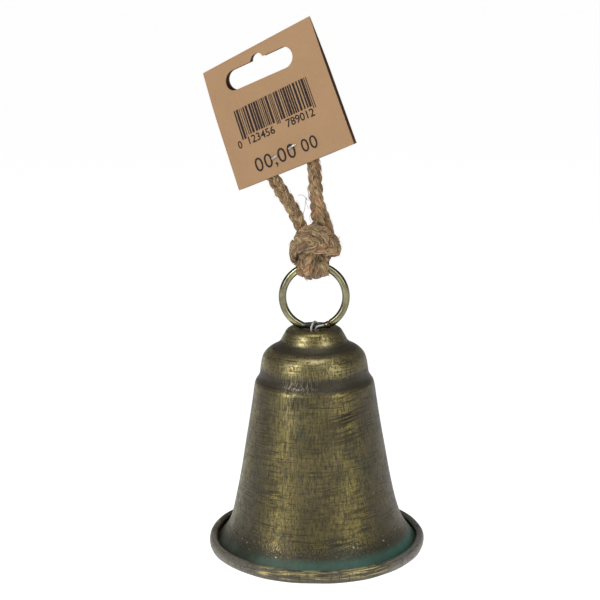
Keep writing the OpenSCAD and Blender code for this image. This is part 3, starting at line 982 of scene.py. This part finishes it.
def add_tag():
    """The folded card: a bent sheet with the slot cut through both panels, then curled."""
    card = mesh_piece("tag_card", *card_sheet(), kraft_mat, smooth=False)
    cutter = slot_cutter()
    fix_normals(card)
    fix_normals(cutter)
    cut = card.modifiers.new("slot", "BOOLEAN")
    cut.object = cutter
    cut.operation = "DIFFERENCE"
    cut.solver = "EXACT"
    card.data = finished_mesh(card)
    card.modifiers.clear()
    bpy.data.objects.remove(cutter, do_unlink=True)
    card.data.materials.clear()
    card.data.materials.append(kraft_mat)
    card.data.materials.append(kraft_shaded_inside_mat)
    # The inner faces of both panels take a dark copy of the kraft: painted shade between the panels
    for polygon in card.data.polygons:
        facing_in = polygon.normal.y * polygon.center.y < 0 and abs(polygon.normal.y) > 0.25
        polygon.material_index = 1 if facing_in else 0
    for v in card.data.vertices:
        v.co = tag_place(v.co / MM) * MM
    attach(card, "tag")
    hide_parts("price_tag")
    add_print()
    add_staple()


def fix_normals(obj):
    """Merge doubled points and turn every face outward, so the cut is exact."""
    bm = bmesh.new()
    bm.from_mesh(obj.data)
    bmesh.ops.remove_doubles(bm, verts=bm.verts, dist=1e-7)
    bmesh.ops.recalc_face_normals(bm, faces=bm.faces)
    bm.to_mesh(obj.data)
    bm.free()


def finished_mesh(obj):
    """The object's mesh as its modifiers or its text leave it."""
    graph = bpy.context.evaluated_depsgraph_get()
    return bpy.data.meshes.new_from_object(obj.evaluated_get(graph))


def flat_text(words, size, left, base, spacing=1.0):
    """Triangles of a line of digits in the tag's plane, as (x, z) points and faces."""
    font = bpy.data.curves.new("digits", "FONT")
    font.body = words
    font.size = size
    font.space_character = spacing
    font.resolution_u = 3
    font.offset = 0.05 if size < 6 else 0.0
    obj = bpy.data.objects.new("digits", font)
    bpy.context.scene.collection.objects.link(obj)
    mesh = finished_mesh(obj)
    points = [(v.co.x + left, v.co.y + base) for v in mesh.vertices]
    faces = [tuple(p.vertices) for p in mesh.polygons]
    bpy.data.objects.remove(obj, do_unlink=True)
    return points, faces


def add_print():
    """Generic bars and digits, a thin film of ink on the front panel."""
    film = 0.07
    parts = []
    bars = random.Random(12)
    x, end, count, rows = -14.6, 20.2, 0, 12
    while x < end:
        width = bars.choice((0.33, 0.33, 0.33, 0.66, 0.66, 0.99))
        guard = count < 2 or abs(x - 2.8) < 1.2 or x > end - 1.6
        low = -1.2 if guard else -0.2
        top = 10.9
        column = [(x, low + (top - low) * k / rows) for k in range(rows + 1)]
        column += [(x + width, z) for _, z in reversed(column)]
        n = len(column)
        parts.append((column, [(k, k + 1, n - 2 - k, n - 1 - k) for k in range(rows)]))
        x += width + bars.choice((0.33, 0.33, 0.45, 0.66))
        count += 1
    for digits in (("0", 4.4, -17.6, -4.0), ("123456", 4.4, -12.9, -3.9), ("789012", 4.4, 5.6, -3.9, 0.98),
                   ("00,00", 8.2, -13.0, -15.7, 1.05), ("00", 7.3, 8.4, -15.4, 1.05)):
        parts.append(flat_text(*digits))
    points, faces, _, _ = joined(parts)
    verts = [tag_place((px, front_y(pz) - film, pz)) for px, pz in points]
    ink = mesh_piece("tag_print", verts, faces, ink_material(), smooth=False)
    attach(ink, "tag")


def add_staple():
    """The staple: its back on the rear panel, its legs through both and folded in at the front."""
    reach = CHEEK + CARD_T / 2
    half = STAPLE_SPAN / 2
    tilt = radians(8)
    across, thick = 0.35, 0.24
    points = []
    for side, clinch in ((-1, 2.6), (1, 3.4)):
        leg = [(side * (half - clinch), -reach - 0.18), (side * (half - clinch * 0.6), -reach - 0.52),
               (side * (half - clinch * 0.2), -reach - 0.50), (side * (half - 0.06), -reach - 0.28),
               (side * half, -reach + 0.3), (side * half, 0), (side * half, reach - 0.3),
               (side * (half - 0.07), reach + 0.2), (side * (half - 0.5), reach + 0.27)]
        points += leg if side < 0 else leg[::-1]
    path, _ = curve_through([(x, y, 0) for x, y in points], 0.2)
    corner = [(cos(a), sin(a)) for a in full_turn(16)]
    section = [(copysign(abs(c) ** 0.5, c) * thick, copysign(abs(s) ** 0.5, s) * across) for c, s in corner]
    rings = np.array([[p + a * side + b * rise for a, b in section]
                      for p, side, rise in zip(path, *frames_along(path, (0, 0, 1)))])
    verts, faces = skin(rings)
    placed = []
    for x, y, z in verts:
        x, z = turned(x, z, tilt)
        placed.append(tag_place((STAPLE_X + x, y, STAPLE_Z + z)))
    staple_mat = steel_material("staple_steel", (0.66, 0.66, 0.64), 0.2, 0.35)
    staple = mesh_piece("staple", placed, faces, staple_mat)
    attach(staple, "tag")
    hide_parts("tag_staple")


# -------- studio

def area_light(name, place, aim, size, power):
    """A rectangular light at a place, turned towards its aim; metres and watts."""
    light = bpy.data.lights.new(name, "AREA")
    light.shape = "RECTANGLE"
    light.size, light.size_y = size
    light.energy = power
    obj = bpy.data.objects.new(name, light)
    obj.location = place
    obj.rotation_euler = (Vector(aim) - Vector(place)).to_track_quat("-Z", "Y").to_euler()
    bpy.context.scene.collection.objects.link(obj)


def add_surround():
    """Light all round: white at the horizon, dimmer above."""
    world = bpy.data.worlds.new("surround")
    world.use_nodes = True
    tree = world.node_tree
    split = tree.nodes.new("ShaderNodeSeparateXYZ")
    tree.links.new(tree.nodes.new("ShaderNodeTexCoord").outputs["Generated"], split.inputs[0])
    fade = tree.nodes.new("ShaderNodeMapRange")
    tree.links.new(split.outputs["Z"], fade.inputs["Value"])
    for key, value in (("From Min", 0.0), ("From Max", 0.22), ("To Min", 0.80), ("To Max", 0.18)):
        fade.inputs[key].default_value = value
    tree.links.new(fade.outputs["Result"], tree.nodes["Background"].inputs["Strength"])
    tree.nodes["Background"].inputs["Color"].default_value = (1, 1, 1, 1)
    bpy.context.scene.world = world


def add_studio():
    """A pale floor well below the ornament, soft boxes left and right of the front, one above."""
    floor_z = rim_z * MM - 0.25
    size = 60.0
    mesh = bpy.data.meshes.new("floor")
    corners = ((-size, -size), (size, -size), (size, size), (-size, size))
    mesh.from_pydata([(x, y, floor_z) for x, y in corners], [], [(0, 1, 2, 3)])
    s = Shader("floor")
    s.set(Base_Color=(0.90, 0.90, 0.90, 1), Roughness=0.9)
    s.set(Emission_Color=(1, 1, 1, 1), Emission_Strength=0.81)
    mesh.materials.append(s.material)
    floor = bpy.data.objects.new("floor", mesh)
    bpy.context.scene.collection.objects.link(floor)
    middle = (axis_x * MM, 0, -0.11)
    area_light("soft_left", (-0.60, -0.56, 0.34), middle, (0.26, 0.75), 4.4)
    area_light("soft_right", (0.57, -0.62, 0.34), middle, (0.30, 0.75), 2.6)
    area_light("soft_top", (0.05, -0.25, 0.95), middle, (0.9, 0.5), 4.6)
    add_surround()
    bpy.context.scene.view_settings.view_transform = "Standard"


jute_mat = jute_material()
steel_mat = steel_material("steel_wire", (0.42, 0.42, 0.40), 0.28, 0.45)
hook_mat = steel_material("hook_wire", (0.72, 0.72, 0.67), 0.42, 0.6)
kraft_mat = kraft_material("kraft_card", (0.315, 0.186, 0.092), (0.272, 0.158, 0.076))
# A dark copy of the kraft for the card's inner faces: painted shade
kraft_shaded_inside_mat = kraft_material("kraft_painted_shade_inside", (0.085, 0.045, 0.028), (0.060, 0.032, 0.020))

add_camera()
add_cord()
add_bell()
add_ring()
add_hanger()
add_clapper()
add_tag()
add_studio()
